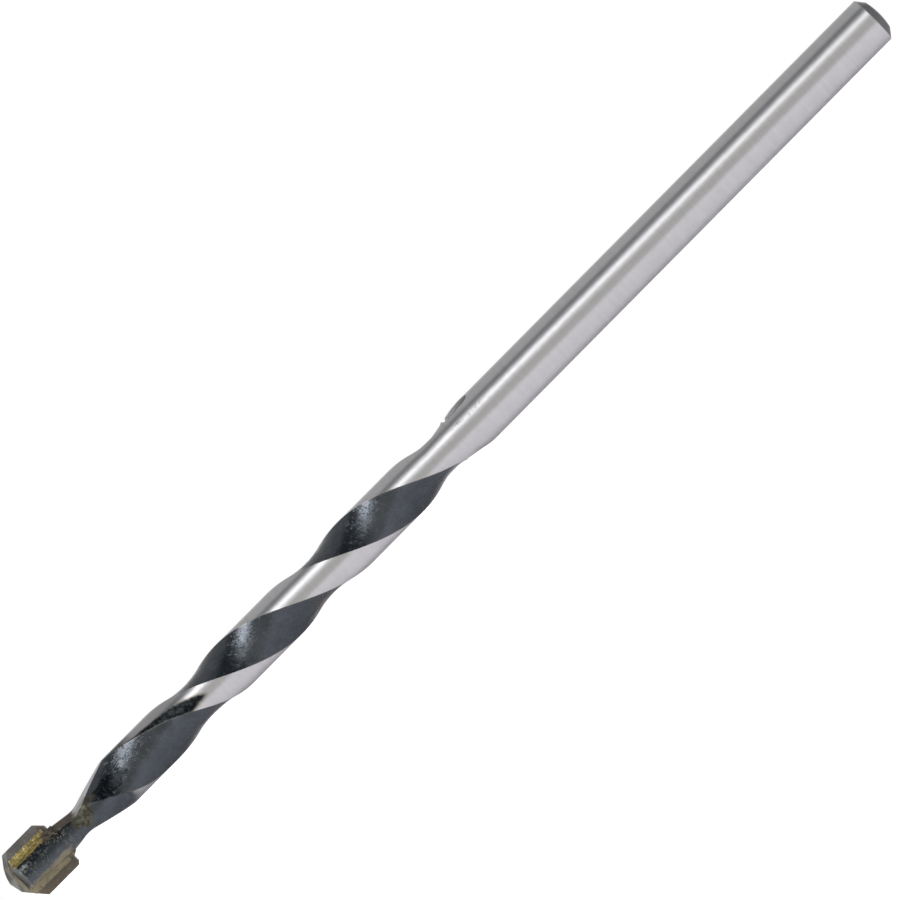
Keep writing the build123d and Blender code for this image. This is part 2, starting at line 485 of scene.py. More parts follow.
def blank_columns(body):
    """Bearing of each column from its flute's centre, the flute that it belongs to, and whether in it."""
    half, flute_columns, land_columns = body.flute_half, 30, 11
    columns = []
    for start in (0.0, pi):
        for low, high, count, in_flute in ((-pi / 2, -half, land_columns, False),
                                           (-half, half, flute_columns, True),
                                           (half, pi / 2, land_columns, False)):
            columns += [(bearing, start, in_flute) for bearing in even_steps(low, high, count)]
    return columns


def blank_mesh(body):
    """A closed blank of rings and end caps, whose points know their station and bearing."""
    stations, columns = blank_stations(body), blank_columns(body)
    cap_shares = (0.25, 0.5, 0.7, 0.85, 0.95)
    rings = [(stations[0], inward) for inward in cap_shares]
    rings += [(station, 1.0) for station in stations]
    rings += [(stations[-1], inward) for inward in reversed(cap_shares)]
    count = len(columns)
    points = [(station, bearing, start, inward)
              for station, inward in rings for bearing, start, _ in columns]
    faces, flags = [], []
    for low in range(0, (len(rings) - 1) * count, count):
        high = low + count
        for index, (_, _, in_flute) in enumerate(columns):
            after = (index + 1) % count
            faces.append((low + index, low + after, high + after, high + index))
            flags.append(float(in_flute))
    for centre, ring in ((stations[0], 0), (stations[-1], len(rings) - 1)):
        hub = len(points)
        points.append((centre, 0.0, 0.0, 0.0))
        faces += [(hub, ring * count + index, ring * count + (index + 1) % count) for index in range(count)]
        flags += [0.0] * count
    mesh = bpy.data.meshes.new("Blank")
    mesh.from_pydata([(point[0], index * MM, 0.0) for index, point in enumerate(points)], [], faces)
    for name, values in zip(BLANK_FIELDS, zip(*points)):
        mesh.attributes.new(name, "FLOAT", "POINT").data.foreach_set("value", values)
    mesh.attributes.new("in_flute", "FLOAT", "FACE").data.foreach_set("value", flags)
    return mesh


# Shapes in the drill's own frame, laid down into the row frame

# How far a cutter runs past the steel beside it, and how far it runs through the drill each way
CUT_PAST = 0.4 * MM
CUT_THROUGH = 2.0 * MM


def to_row(point):
    """A point across the plate, through it and along the drill, in metres, laid down."""
    across_plate, through_plate, along = point
    half_length = settings().body.overall / 2
    return Vector((along - half_length, -through_plate, across_plate + AXIS_HEIGHT))


def add_object(name, data):
    piece = bpy.data.objects.new(name, data)
    bpy.context.scene.collection.objects.link(piece)
    return piece


@contextmanager
def edited(mesh):
    """The mesh as a bmesh, which is written back at the end."""
    bm = bmesh.new()
    bm.from_mesh(mesh)
    yield bm
    bm.to_mesh(mesh)
    bm.free()
    mesh.update()


def tidy_mesh(mesh, merge=1e-8):
    """Merges doubles and turns every face outwards."""
    with edited(mesh) as bm:
        bmesh.ops.remove_doubles(bm, verts=bm.verts, dist=merge)
        bmesh.ops.recalc_face_normals(bm, faces=bm.faces)


def smooth_by_angle(mesh, degrees):
    """Smooth shading, with the edges past an angle kept sharp."""
    mesh.shade_smooth()
    with edited(mesh) as bm:
        for edge in bm.edges:
            edge.smooth = not edge.is_manifold or edge.calc_face_angle(0.0) < radians(degrees)


def cutter(name, profile, material, turn=0.0, along_plate=False):
    """A closed prism: a profile beside the axis and along it, run through the drill both ways."""
    points = []
    for side in (-CUT_THROUGH, CUT_THROUGH):
        for aside, along in profile:
            x, y = (side, aside) if along_plate else (aside, side)
            points.append(to_row((x * cos(turn) - y * sin(turn), x * sin(turn) + y * cos(turn), along)))
    count = len(profile)
    faces = [tuple(range(count)), tuple(range(count, 2 * count))]
    for index in range(count):
        after = (index + 1) % count
        faces.append((index, after, count + after, count + index))
    mesh = bpy.data.meshes.new(name)
    mesh.from_pydata(points, [], faces)
    mesh.materials.append(material)
    tidy_mesh(mesh)
    return add_object(name, mesh)


def waist_profile(body, head, half, slope, end):
    """Outline of what is ground off one side behind the head."""
    shoulder = Vector((half, head.cheek_rear))
    fall = Vector((-sin(head.fall_slope), cos(head.fall_slope)))
    ramp = Vector((-sin(slope), -cos(slope)))
    ramp_end = Vector((body.shank_radius, end))
    gap = ramp_end - shoulder
    turn = fall.x * ramp.y - fall.y * ramp.x
    waist = shoulder + fall * ((gap.x * ramp.y - gap.y * ramp.x) / turn)
    past_end = ramp_end - ramp * (CUT_PAST / sin(slope))
    bend = head.fall_slope + slope
    start = waist - fall * (head.waist_radius * tan(bend / 2))
    middle = start + Vector((cos(head.fall_slope), sin(head.fall_slope))) * head.waist_radius
    steps = 10
    rounding = []
    for step in range(steps + 1):
        turned = -pi + head.fall_slope - bend * step / steps
        rounding.append(middle + Vector((cos(turned), sin(turned))) * head.waist_radius)
    corner = Vector((max(body.shank_radius + CUT_PAST, past_end.x), shoulder.y))
    return [tuple(point) for point in [shoulder, *rounding, past_end, corner]]


def cheek_profile(body, head):
    """Outline of what is ground off one side beside the cheeks."""
    reach = body.shank_radius + CUT_PAST
    return [(head.cheek_front_half, 0.0), (head.cheek_rear_half, head.cheek_rear),
            (reach, head.cheek_rear), (reach, 0.0)]


def relief_profile(body, head, plate):
    """Outline of what is ground off the front of the cheeks."""
    reach = body.shank_radius + CUT_PAST
    inner = plate.thickness / 2
    outer_level = body.front + (reach - inner) * tan(head.cheek_slope)
    return [(-reach, outer_level), (-inner, body.front), (inner, body.front),
            (reach, outer_level), (reach, -MM), (-reach, -MM)]


def slot_profile(head):
    """Outline of the slot for the plate."""
    half, depth = head.slot_half, head.slot_depth
    return [(-half, -MM), (half, -MM), (half, depth), (-half, depth)]


def cut(piece, cutters):
    """Takes the cutters off a piece, one after another, and removes them."""
    for tool in cutters:
        modifier = piece.modifiers.new(tool.name, "BOOLEAN")
        modifier.operation = "DIFFERENCE"
        modifier.solver = "MANIFOLD"
        modifier.material_mode = "TRANSFER"
        modifier.object = tool
    settle(piece)
    for tool in cutters:
        mesh = tool.data
        bpy.data.objects.remove(tool)
        bpy.data.meshes.remove(mesh)


def settle(piece):
    """Turns the result of a piece's modifiers into its own plain mesh."""
    bpy.context.view_layer.update()
    depsgraph = bpy.context.evaluated_depsgraph_get()
    mesh = bpy.data.meshes.new_from_object(piece.evaluated_get(depsgraph), depsgraph=depsgraph)
    piece.modifiers.clear()
    old = piece.data
    piece.data = mesh
    mesh.name = piece.name
    bpy.data.meshes.remove(old)


def finish_piece(piece, nodes):
    """Seats a finished piece on its body, in place of the CAD nodes that it stands for."""
    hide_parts(*nodes)
    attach(piece, BODY)


# Effects that the materials share, each a shader group that is built once

@cache
def patch_group():
    """A ragged patch about a point: one inside, nothing outside."""
    keys = ("where", "centre", "size", "raggedness", "detail_per_mm")
    tree, own = new_group("Ragged patch", "Shader", keys, ("mask",))
    offset = vector_math(tree, "DIVIDE", vector_math(tree, "SUBTRACT", own.where, own.centre), own.size)
    measure = place(tree, "ShaderNodeVectorMath", {0: offset}, operation="LENGTH")
    distance = Term(tree, measure.outputs["Value"])
    wander = noise(tree, own.where, own.detail_per_mm, 4.0, 0.65) - 0.5
    return put_out(tree, (distance + wander * own.raggedness * 2.0).ramp(1.08, 0.86))


@cache
def speckle_group():
    """Small scattered specks, and the height of what they stand in."""
    keys = ("where", "specks_per_mm", "threshold", "softness")
    tree, own = new_group("Specks", "Shader", keys, ("mask", "height"))
    fine = noise(tree, own.where, own.specks_per_mm, 2.0, 0.6)
    coarse = noise(tree, own.where, own.specks_per_mm * 0.27, 2.0, 0.5)
    mixed = fine * 0.72 + coarse * 0.28
    return put_out(tree, mixed.ramp(own.threshold, own.threshold + own.softness), mixed)


@cache
def grinding_group():
    """Fine grinding lines round the drill, with a few deeper ones."""
    keys = ("where", "lines_per_mm", "run")
    tree, own = new_group("Grinding lines", "Shader", keys, ("height", "tone"))
    lined = vector_math(tree, "MULTIPLY", own.where, combined(tree, own.lines_per_mm, own.run, own.run))
    fine = noise(tree, lined, 1.0, 3.0, 0.6)
    wide = noise(tree, vector_math(tree, "MULTIPLY", lined, (0.16, 1.0, 1.0)), 1.0, 2.0)
    return put_out(tree, fine * 0.75 + wide * 0.25, wide)


@cache
def film_group():
    """A thin uneven film: clouded, with darker pores."""
    keys = ("where", "clouds_per_mm", "pores_per_mm")
    tree, own = new_group("Clouded film", "Shader", keys, ("cloud", "pores"))
    cloud = noise(tree, own.where, own.clouds_per_mm, 5.0, 0.62, 0.4)
    pores = noise(tree, own.where, own.pores_per_mm, 2.0, 0.55)
    return put_out(tree, cloud.ramp(0.34, 0.66), pores.ramp(0.60, 0.70))


# Lesser colours of the finishes, linear
SOOT = (0.018, 0.017, 0.016)
# Painted shade for the plate's upper side and lip
CARBIDE_PAINTED_SHADE = (0.02, 0.02, 0.019)
BURNT_FLUX = (0.04, 0.036, 0.028)
PORE = (0.05, 0.045, 0.04)
BRASS_PORE = (0.06, 0.045, 0.02)
STREAK = (0.07, 0.062, 0.048)
SHANK_CHAMFER = (0.085, 0.088, 0.092)
CHEEK_FRONT = (0.095, 0.098, 0.105)
BURNT_BRASS = (0.12, 0.1, 0.07)
BROWN_STAIN = (0.14, 0.112, 0.082)
RED_RUST = (0.15, 0.075, 0.055)
CLEAN_STEEL = (0.17, 0.175, 0.18)
GREY_FLECK = (0.18, 0.185, 0.175)
HEATED_STEEL = (0.2, 0.205, 0.22)
PIT = (0.24, 0.24, 0.23)
SMALL_PIT = (0.26, 0.25, 0.24)
GREY_BEAD = (0.30, 0.32, 0.32)
BRIGHT_GRAIN = (0.42, 0.41, 0.39)
BRIGHT_BRASS = (0.62, 0.54, 0.28)

# Ragged spots: their middle along the drill, through it and across it, their reach the same
# three ways, in millimetres, how ragged they are, and their detail per millimetre
NECK_FLECKS = ((3.5, -0.9, 0.35), (0.22, 0.9, 0.42), 0.9, 7.0)
BEAD_SPOT = ((1.12, -1.2, 0.27), (0.3, 0.9, 0.17), 0.7, 6.0)
WAIST_FLUX = ((4.98, -0.9, 0.06), (0.66, 1.0, 0.7), 0.9, 2.0)
RAMP_FLUX = ((5.45, -0.9, 0.4), (0.6, 1.0, 0.3), 0.9, 3.0)
SHANK_PITS = ((32.0, -1.1, 0.52), (1.1, 0.5, 0.12), 0.9, 5.0)
# A black patch in the first flute: black scale, and painted shade that darkens a highlight there
FLUTE_SCALE_AND_SHADE = ((7.0, -0.8, 0.22), (1.1, 0.9, 0.42), 0.9, 2.6)
FLUTE_RUST = ((8.05, -0.9, 0.12), (0.3, 0.9, 0.42), 0.9, 5.0)
NECK_RUST = ((20.65, -0.35, -0.95), (0.5, 0.45, 0.14), 0.7, 4.0)
CORNER_RUST = ((3.08, -0.5, 1.12), (0.24, 0.6, 0.34), 0.9, 3.0)


class Coat:
    """A material in the making: where on the drill it is, its colour so far and its shader."""

    def __init__(self, name):
        self.material = bpy.data.materials.new(name)
        self.material.use_nodes = True
        self.tree = self.material.node_tree
        self.shader = self.tree.nodes["Principled BSDF"].inputs
        own = settings()
        self.colours = own.colours
        self.colour = None

        # Millimetres along the drill from its point, through it and across it
        source = place(self.tree, "ShaderNodeTexCoord").outputs["Object"]
        from_point = (own.body.overall / 2 / MM, 0.0, -AXIS_HEIGHT / MM)
        self.where = vector_math(self.tree, "ADD", scaled(self.tree, source, 1 / MM), from_point)
        parts = place(self.tree, "ShaderNodeSeparateXYZ", {"Vector": self.where}).outputs
        self.along, self.up = Term(self.tree, parts["X"]), Term(self.tree, parts["Z"])

    def use(self, group, *values):
        """The outputs of a shared group, with its inputs given in order."""
        node = place(self.tree, "ShaderNodeGroup", node_tree=group)
        for socket, value in zip(node.inputs, (self.where, *values)):
            give(self.tree, socket, value)
        return [Term(self.tree, output) for output in node.outputs]

    def spot(self, centre, reach, ragged, detail):
        return self.use(patch_group(), centre, reach, ragged, detail)[0]

    def specks(self, per_mm, threshold, softness):
        return self.use(speckle_group(), per_mm, threshold, softness)

    def noise(self, *values):
        return noise(self.tree, self.where, *values)

    def attribute(self, name):
        return Term(self.tree, place(self.tree, "ShaderNodeAttribute", attribute_name=name).outputs["Fac"])

    def blend(self, mask, first, second):
        return blend(self.tree, mask, first, second)

    def lay(self, mask, colour):
        """Covers the colour so far with another, by a mask."""
        self.colour = self.blend(mask, self.colour, colour)

    def finish(self, roughness, metallic, height, relief, depth):
        """The material, with its colour, its gloss and a relief of a depth in millimetres."""
        bump = place(self.tree, "ShaderNodeBump", {"Height": height, "Strength": relief,
                                                   "Distance": depth * MM})
        for name, value in (("Base Color", self.colour), ("Roughness", roughness),
                            ("Metallic", metallic), ("Normal", bump.outputs[0])):
            give(self.tree, self.shader[name], value)
        return self.material


def times(colour, factor):
    """A colour, darker or paler."""
    return [part * factor for part in colour]


def head_stains(coat):
    """Lays braze, flux and rust over the steel round the head, and says where they lie."""
    along, up, colours = coat.along, coat.up, coat.colours
    wander = coat.noise(3.2, 4.0, 0.65) - 0.5
    cloud = coat.noise(5.5, 4.0, 0.62)
    grains, _ = coat.specks(9.0, 0.52, 0.07)

    # Brown film and pale flecks on the upper side of the neck
    brown = (up + wander * 0.5).ramp(0.22, 0.62) * along.ramp(4.9, 4.3) * along.ramp(2.5, 3.0)
    coat.lay(brown * cloud.ramp(0.36, 0.56) * 0.85, colours.rust)
    coat.lay(coat.spot(*NECK_FLECKS) * grains * 0.8, colours.pale_flux)
    coat.lay(coat.spot(*BEAD_SPOT) * cloud.ramp(0.4, 0.6) * 0.8, GREY_BEAD)
    coat.lay(grains * along.ramp(4.4, 3.9) * 0.36, GREY_FLECK)

    # Flux in a ragged patch on the waist
    flux = coat.spot(*WAIST_FLUX).most(coat.spot(*RAMP_FLUX))
    dark = coat.noise(4.0, 3.0, 0.6).ramp(0.56, 0.44)
    coat.lay(flux * (cloud.ramp(0.34, 0.6) * 0.6 + 0.35), colours.flux)
    coat.lay(flux * dark * 0.7, BURNT_FLUX)
    coat.lay(flux * grains * 0.1, colours.pale_flux)

    # Braze over the upper edge of the cheek, flux over the lower one
    upper = (up + wander * 0.16).ramp(0.53, 0.60) * (along + wander * 0.3).ramp(0.68, 0.85)
    upper = upper * (along + wander * 0.3).ramp(2.9, 2.6)
    brass = coat.blend(cloud.ramp(0.35, 0.65), colours.dull_brass, colours.brass)
    coat.lay(upper, coat.blend(grains * 0.6, brass, colours.pale_flux))
    lower = (up + wander * 0.3).ramp(-0.46, -0.64) * (along + wander * 0.6 - up * 0.3).ramp(3.85, 3.45)
    light = (cloud.ramp(0.3, 0.7) + along.ramp(1.6, 2.8)) * 0.5
    coat.lay(lower * 0.92, coat.blend(light, times(colours.stained, 0.72), times(colours.stained, 1.12)))
    return flux.most(upper).most(lower)


def ground_steel():
    """Bright ground lands and shank, blued and scaled near the head."""
    coat = Coat("Ground steel")
    along, up, colours = coat.along, coat.up, coat.colours
    lines, tone = coat.use(grinding_group(), 26.0, 0.7)
    coat.colour = scaled(coat.tree, tuple(colours.ground), tone.between(0.9, 1.06))

    # Straw tint along the edges of the lands
    across = coat.attribute(ACROSS)
    uneven = coat.noise(1.3, 3.0).ramp(0.45, 0.7)
    coat.lay(across.ramp(1.05, 1.0) * uneven * along.ramp(31.5, 30.0) * 0.3, colours.straw)

    # Blued steel behind the head, with a ragged end on each land
    wander = (coat.noise(0.8, 4.0, 0.6) - 0.5) * 2.0
    blued = (along + wander * 0.7 - up * 0.6).ramp(8.9, 7.4)
    dulled = (along + wander * 0.4).ramp(12.7, 11.9)
    coat.lay((blued + dulled * 0.3).least(1.0), colours.oxide)

    # Black scale behind the leading edge of the first land, wider along it, then leaving the edge
    behind = coat.attribute(BEHIND)
    grain = (coat.noise(4.0, 4.0, 0.65) - 0.5) * 0.2
    far = along.ramp(8.8, 12.2, "LINEAR") * 0.74 + along.ramp(12.2, 13.5, "LINEAR") * 0.12
    near = along.ramp(12.3, 13.5, "LINEAR") * 0.82
    inside = (far - behind + grain).least(behind - near + 0.03 + grain * 0.5)
    scale = inside.ramp(-0.07, 0.11) * along.ramp(13.6, 13.1) * behind.ramp(-0.1, 0.0)
    rim = inside.ramp(-0.16, 0.0) * along.ramp(13.6, 13.0) * along.ramp(11.6, 12.6)
    coat.lay(rim * 0.45, colours.straw)
    dusty = coat.noise(5.0, 4.0, 0.65).ramp(0.4, 0.66)
    coat.lay(scale, coat.blend(dusty, colours.scale, times(colours.oxide, 0.7)))
    coat.lay(scale * coat.specks(8.0, 0.53, 0.08)[0] * 0.5, colours.speckle)
    flux = head_stains(coat)

    # Small pits on the shank, and a duller chamfer
    pits = coat.spot(*SHANK_PITS) * coat.specks(9.0, 0.5, 0.05)[0]
    coat.lay(pits * 0.6, PIT)
    scattered, _ = coat.specks(5.0, 0.69, 0.04)
    coat.lay(scattered * 0.4, SMALL_PIT)
    coat.lay(along.ramp(59.52, 59.6) * 0.9, SHANK_CHAMFER)

    # The grinding lines run round the drill and stretch its gloss
    coat.shader["Anisotropic"].default_value = 0.8
    coat.shader["Anisotropic Rotation"].default_value = 0.25
    tangent = place(coat.tree, "ShaderNodeTangent", direction_type="RADIAL", axis="X")
    give(coat.tree, coat.shader["Tangent"], tangent.outputs[0])
    rough = coat.noise(1.1, 3.0).between(0.38, 0.43) + blued * 0.08 + scale * 0.2 + flux * 0.15
    return coat.finish(rough, 1.0, lines + scattered * -0.4 + pits * -0.6, 0.35, 0.006)


def blued_flute():
    """Dark skin of the flutes: speckled blue-grey, laid black near the head, partly as black scale and
    partly as painted shade.
    """
    coat = Coat("Blued flute")
    along, up, colours = coat.along, coat.up, coat.colours
    across = coat.attribute(ACROSS)
    clouds = coat.noise(1.7, 5.0, 0.6)
    drift = clouds - 0.5
    coat.colour = coat.blend(clouds.ramp(0.3, 0.7), times(colours.oxide, 0.86), times(colours.oxide, 1.12))

    # Pale specks of loose scale, thicker in some places, and rusty ones near the head
    specks, _ = coat.specks(5.0, 0.54, 0.13)
    thick = coat.noise(0.9, 3.0).ramp(0.4, 0.62) * 0.4 + 0.15
    # Painted shade, with black scale in it: the upper side near the head is laid black
    scale_and_painted_shade = (up + drift * 0.4).ramp(0.08, 0.24) * 0.4 + (up + drift * 0.3).ramp(-0.35, 0.05) * 0.6
    scale_and_painted_shade = scale_and_painted_shade * along.ramp(4.8, 4.2)
    coat.lay(scale_and_painted_shade, colours.scale)
    coat.lay(specks * thick, colours.speckle)
    # Black patch, partly scale and partly painted shade over a highlight
    coat.lay(coat.spot(*FLUTE_SCALE_AND_SHADE) * 0.75, colours.scale)
    coat.lay(coat.spot(*FLUTE_RUST) * specks * 0.8, colours.flux)

    # A fine pale line along the edges, and cleaner metal where the cutter ran out
    edge = across.ramp(0.955, 0.99) * across.ramp(1.04, 1.01)
    coat.lay(edge * coat.noise(1.3, 3.0).ramp(0.35, 0.7) * 0.4, colours.straw)
    coat.lay(coat.spot(*NECK_RUST) * 0.6, RED_RUST)
    coat.lay((along + drift * 1.2).ramp(30.2, 31.6) * 0.6, CLEAN_STEEL)
    flux = head_stains(coat)

    rough = coat.noise(6.0, 4.0, 0.65).between(0.17, 0.36) + specks * 0.2 + flux * 0.2 + scale_and_painted_shade * 0.35
    rugged = coat.noise(1.6, 2.0).ramp(0.35, 0.65) * 0.5 + 0.3
    pimples = coat.noise(5.0, 3.0, 0.65) * rugged + coat.noise(14.0, 2.0, 0.6) * 0.16
    return coat.finish(rough, 1.0, pimples + specks * 0.4, 0.9, 0.021)


def ground_head():
    """Ground flats of the head: the cheeks' fronts and sides, the waist and the slot."""
    coat = Coat("Ground head")
    along, colours = coat.along, coat.colours
    lines, tone = coat.use(grinding_group(), 9.0, 1.2)
    coat.colour = coat.blend(tone, times(colours.ground, 0.55), times(colours.ground, 0.8))
    coat.lay((along + (tone - 0.5)).ramp(6.9, 4.9) * 0.45, HEATED_STEEL)
    neck = (along + (coat.noise(3.0, 4.0) - 0.5) * 0.6).ramp(4.75, 4.5)
    coat.lay(neck * 0.95, coat.blend(coat.noise(5.0, 4.0, 0.65).ramp(0.35, 0.65), SOOT, colours.rust))
    front = along.ramp(1.3, 0.95)
    coat.lay(front * 0.9, CHEEK_FRONT)
    head_stains(coat)
    rough = coat.noise(3.0, 3.0).between(0.32, 0.46) + neck * (1.0 - front) * 0.45
    return coat.finish(rough, 1.0, lines, 0.5, 0.01)


def sintered_carbide():
    """Grey carbide plate, stained by flux on its lower wing."""
    coat = Coat("Sintered carbide")
    along, up, colours = coat.along, coat.up, coat.colours
    cloud, pores = coat.use(film_group(), 1.6, 9.0)
    coat.colour = coat.blend(cloud, times(colours.carbide, 0.8), times(colours.carbide, 1.15))
    # Painted shade: the plate's upper side is laid darker, and more so near the point
    coat.lay(up.ramp(0.15, 0.5) * 0.34 + up.ramp(0.05, 0.3) * along.ramp(0.8, 0.6) * 0.5, CARBIDE_PAINTED_SHADE)

    # Flux over the lower wing, browner and streaked at its edge
    lower = (up + (coat.noise(2.0, 4.0) - 0.5) * 0.3).ramp(-0.45, -0.62)
    stained = coat.blend(up.ramp(-0.9, -1.08), colours.stained, BROWN_STAIN)
    coat.lay(lower * (cloud * 0.3 + 0.7), stained)
    _, tone = coat.use(grinding_group(), 5.0, 0.9)
    coat.lay(tone.ramp(0.56, 0.42) * up.ramp(-0.85, -1.05) * 0.35, STREAK)

    # The worn upper lip: a stained ledge, painted shade on its face and a rusty corner
    ledge = (along + (cloud - 0.5) * 0.1).ramp(0.30, 0.37) * up.ramp(1.0, 0.8) * along.ramp(0.75, 0.6)
    coat.lay(ledge * 0.8, colours.stained)
    coat.lay(along.ramp(0.75, 0.55) * up.ramp(0.2, 0.4) * 0.4, CARBIDE_PAINTED_SHADE)
    coat.lay(coat.spot(*CORNER_RUST) * 0.7, colours.rust)
    coat.lay(pores * 0.5, PORE)
    specks, grain = coat.specks(12.0, 0.6, 0.05)
    coat.lay(specks * 0.35, BRIGHT_GRAIN)
    return coat.finish(cloud.between(0.42, 0.6), 0.6, grain + coat.noise(22.0, 2.0) * 0.4, 0.5, 0.012)


def brass_braze():
    """Grainy brass-yellow braze on the upper side, dulled by flux on the lower."""
    coat = Coat("Brass braze")
    along, up, colours = coat.along, coat.up, coat.colours
    cloud, pores = coat.use(film_group(), 2.6, 8.0)
    coat.colour = coat.blend(cloud, colours.dull_brass, colours.brass)
    lower = up.ramp(0.1, -0.2)
    coat.lay(lower * 0.8, colours.stained)
    drift = cloud - 0.5
    ends = (along + drift * 0.2).ramp(0.92, 0.72).most((along + drift * 0.3).ramp(2.6, 2.9))
    coat.lay(ends * (1.0 - lower) * 0.8, BURNT_BRASS)
    coat.lay(pores * 0.55, BRASS_PORE)
    specks, grain = coat.specks(11.0, 0.58, 0.06)
    coat.lay(specks * 0.25, BRIGHT_BRASS)
    return coat.finish(cloud.between(0.55, 0.4), 0.7, grain + cloud * 0.5, 0.7, 0.02)


# Operators

class DRILL_OT_body(bpy.types.Operator):
    """Builds the fluted steel body with its slotted head"""

    bl_idname = "drill.body"
    bl_label = "Steel body"

    def execute(self, context):
        own = settings()
        body, head = own.body, own.head
        steel, skin, flats = ground_steel(), blued_flute(), ground_head()
        piece = add_object("drill_body", blank_mesh(body))
        apply_tree(piece, fluted_bar_tree(steel, skin), **{key: getattr(body, key) for key in BAR_SIZES})
        tidy_mesh(piece.data)
        upper = (head.waist_shoulder - head.waist_lean, head.upper_ramp, head.upper_ramp_end)
        lower = (head.waist_shoulder + head.waist_lean, head.lower_ramp, head.lower_ramp_end)
        cutters = []
        for turn, side in ((0.0, upper), (pi, lower)):
            waist = waist_profile(body, head, *side)
            cutters.append(cutter("cheek_side", cheek_profile(body, head), flats, turn))
            cutters.append(cutter("waist_side", waist, flats, turn + head.waist_turn))
        front = relief_profile(body, head, own.plate)
        for name, profile in (("front", front), ("slot", slot_profile(head))):
            cutters.append(cutter(name, profile, flats, along_plate=True))
        cut(piece, cutters)
        smooth_by_angle(piece.data, 17.0)
        finish_piece(piece, ["steel_body"])
        return {"FINISHED"}


def bisect(bm, point, normal, **options):
    geometry = list(bm.verts) + list(bm.edges) + list(bm.faces)
    bmesh.ops.bisect_plane(bm, geom=geometry, plane_co=point, plane_no=normal, **options)


def half_space(bm, point, normal):
    """Takes off what lies past a plane, and closes the cut."""
    bisect(bm, to_row(point), to_row(normal) - to_row((0.0, 0.0, 0.0)), clear_outer=True)
    rim = [edge for edge in bm.edges if edge.is_boundary]
    bmesh.ops.holes_fill(bm, edges=rim, sides=0)


def dice(bm, step):
    """Cuts the faces into small squares, so that they can carry grain."""
    for axis in range(3):
        spots = [vert.co[axis] for vert in bm.verts]
        low, high = min(spots), max(spots)
        count = max(2, round((high - low) / step))
        for index in range(1, count):
            spot, normal = Vector(), Vector()
            spot[axis] = low + (high - low) * index / count
            normal[axis] = 1.0
            bisect(bm, spot, normal)


def grain_tree(name, material, inward_only):
    """Roughens a piece with fine grain and coarser lumps, along its normals."""
    keys = ("geometry", "fine_height", "coarse_height", "fine_per_mm", "coarse_per_mm")
    tree, size = new_group(name, "Geometry", keys, ("geometry",))
    where = scaled(tree, place(tree, "GeometryNodeInputPosition").outputs[0], 1 / MM)
    fine = noise(tree, where, size.fine_per_mm, 3.0, 0.6) - 0.5
    coarse = noise(tree, where, size.coarse_per_mm, 3.0, 0.55) - 0.5
    height = fine * 2.0 * size.fine_height + coarse * 2.0 * size.coarse_height
    if inward_only:
        height = (height - (size.fine_height + size.coarse_height) * 0.6).least(0.0)
    offset = scaled(tree, place(tree, "GeometryNodeInputNormal").outputs[0], height)
    moved = place(tree, "GeometryNodeSetPosition", {"Geometry": size.geometry, "Offset": offset})
    return finish_geometry(tree, moved.outputs[0], [(material, True)])


# Worn upper lip, as planes: distance from the axis and from the point, in millimetres, and slope
WORN_LIP = [(0.2, 0.0, 14.0), (0.52, 0.085, 22.0), (0.77, 0.19, 29.0), (1.0, 0.32, 38.0)]


class DRILL_OT_plate(bpy.types.Operator):
    """Builds the ground carbide plate"""

    bl_idname = "drill.plate"
    bl_label = "Carbide plate"

    def execute(self, context):
        plate = settings().plate
        half, thick = plate.width / 2, plate.thickness / 2
        relief = tan(plate.relief)
        planes = [((aside * MM, -thick, along * MM), (tan(radians(slope)), relief, -1.0))
                  for aside, along, slope in WORN_LIP]
        planes.append(((plate.chisel_offset, -thick, 0.0), (-tan(plate.minus_slope), -relief, -1.0)))
        planes.append(((half, 0.0, plate.height - plate.plus_chamfer), (1.0, 0.0, 1.0)))
        planes.append(((-half, 0.0, plate.height - plate.minus_chamfer), (-1.0, 0.0, 1.0)))
        mesh = bpy.data.meshes.new("carbide_plate")
        with edited(mesh) as bm:
            bmesh.ops.create_cube(bm, size=1.0)
            for vert in bm.verts:
                x, y, z = vert.co
                vert.co = to_row((x * plate.width, y * plate.thickness, (z + 0.5) * plate.height))
            for point, normal in planes:
                half_space(bm, point, normal)
            bmesh.ops.recalc_face_normals(bm, faces=bm.faces)
            bmesh.ops.bevel(bm, geom=list(bm.edges), offset=plate.edge, segments=2, profile=0.6,
                            affect="EDGES", clamp_overlap=True)
            dice(bm, plate.dice)
            bmesh.ops.triangulate(bm, faces=[face for face in bm.faces if len(face.verts) > 4])
        tidy_mesh(mesh)
        piece = add_object("carbide_plate", mesh)
        apply_tree(piece, grain_tree("Sintered grain", sintered_carbide(), True),
                   fine_height=plate.grain * 0.5, coarse_height=plate.grain,
                   fine_per_mm=9.0, coarse_per_mm=2.6)
        smooth_by_angle(piece.data, 24.0)
        finish_piece(piece, ["carbide_tip"])
        return {"FINISHED"}


# Past this distance from the point no braze stands behind the upper wing: there it ends at
# this many half widths of the slot from the axis
REAR_BEAD_END = 3.15 * MM
REAR_BEAD_REACH = 1.4


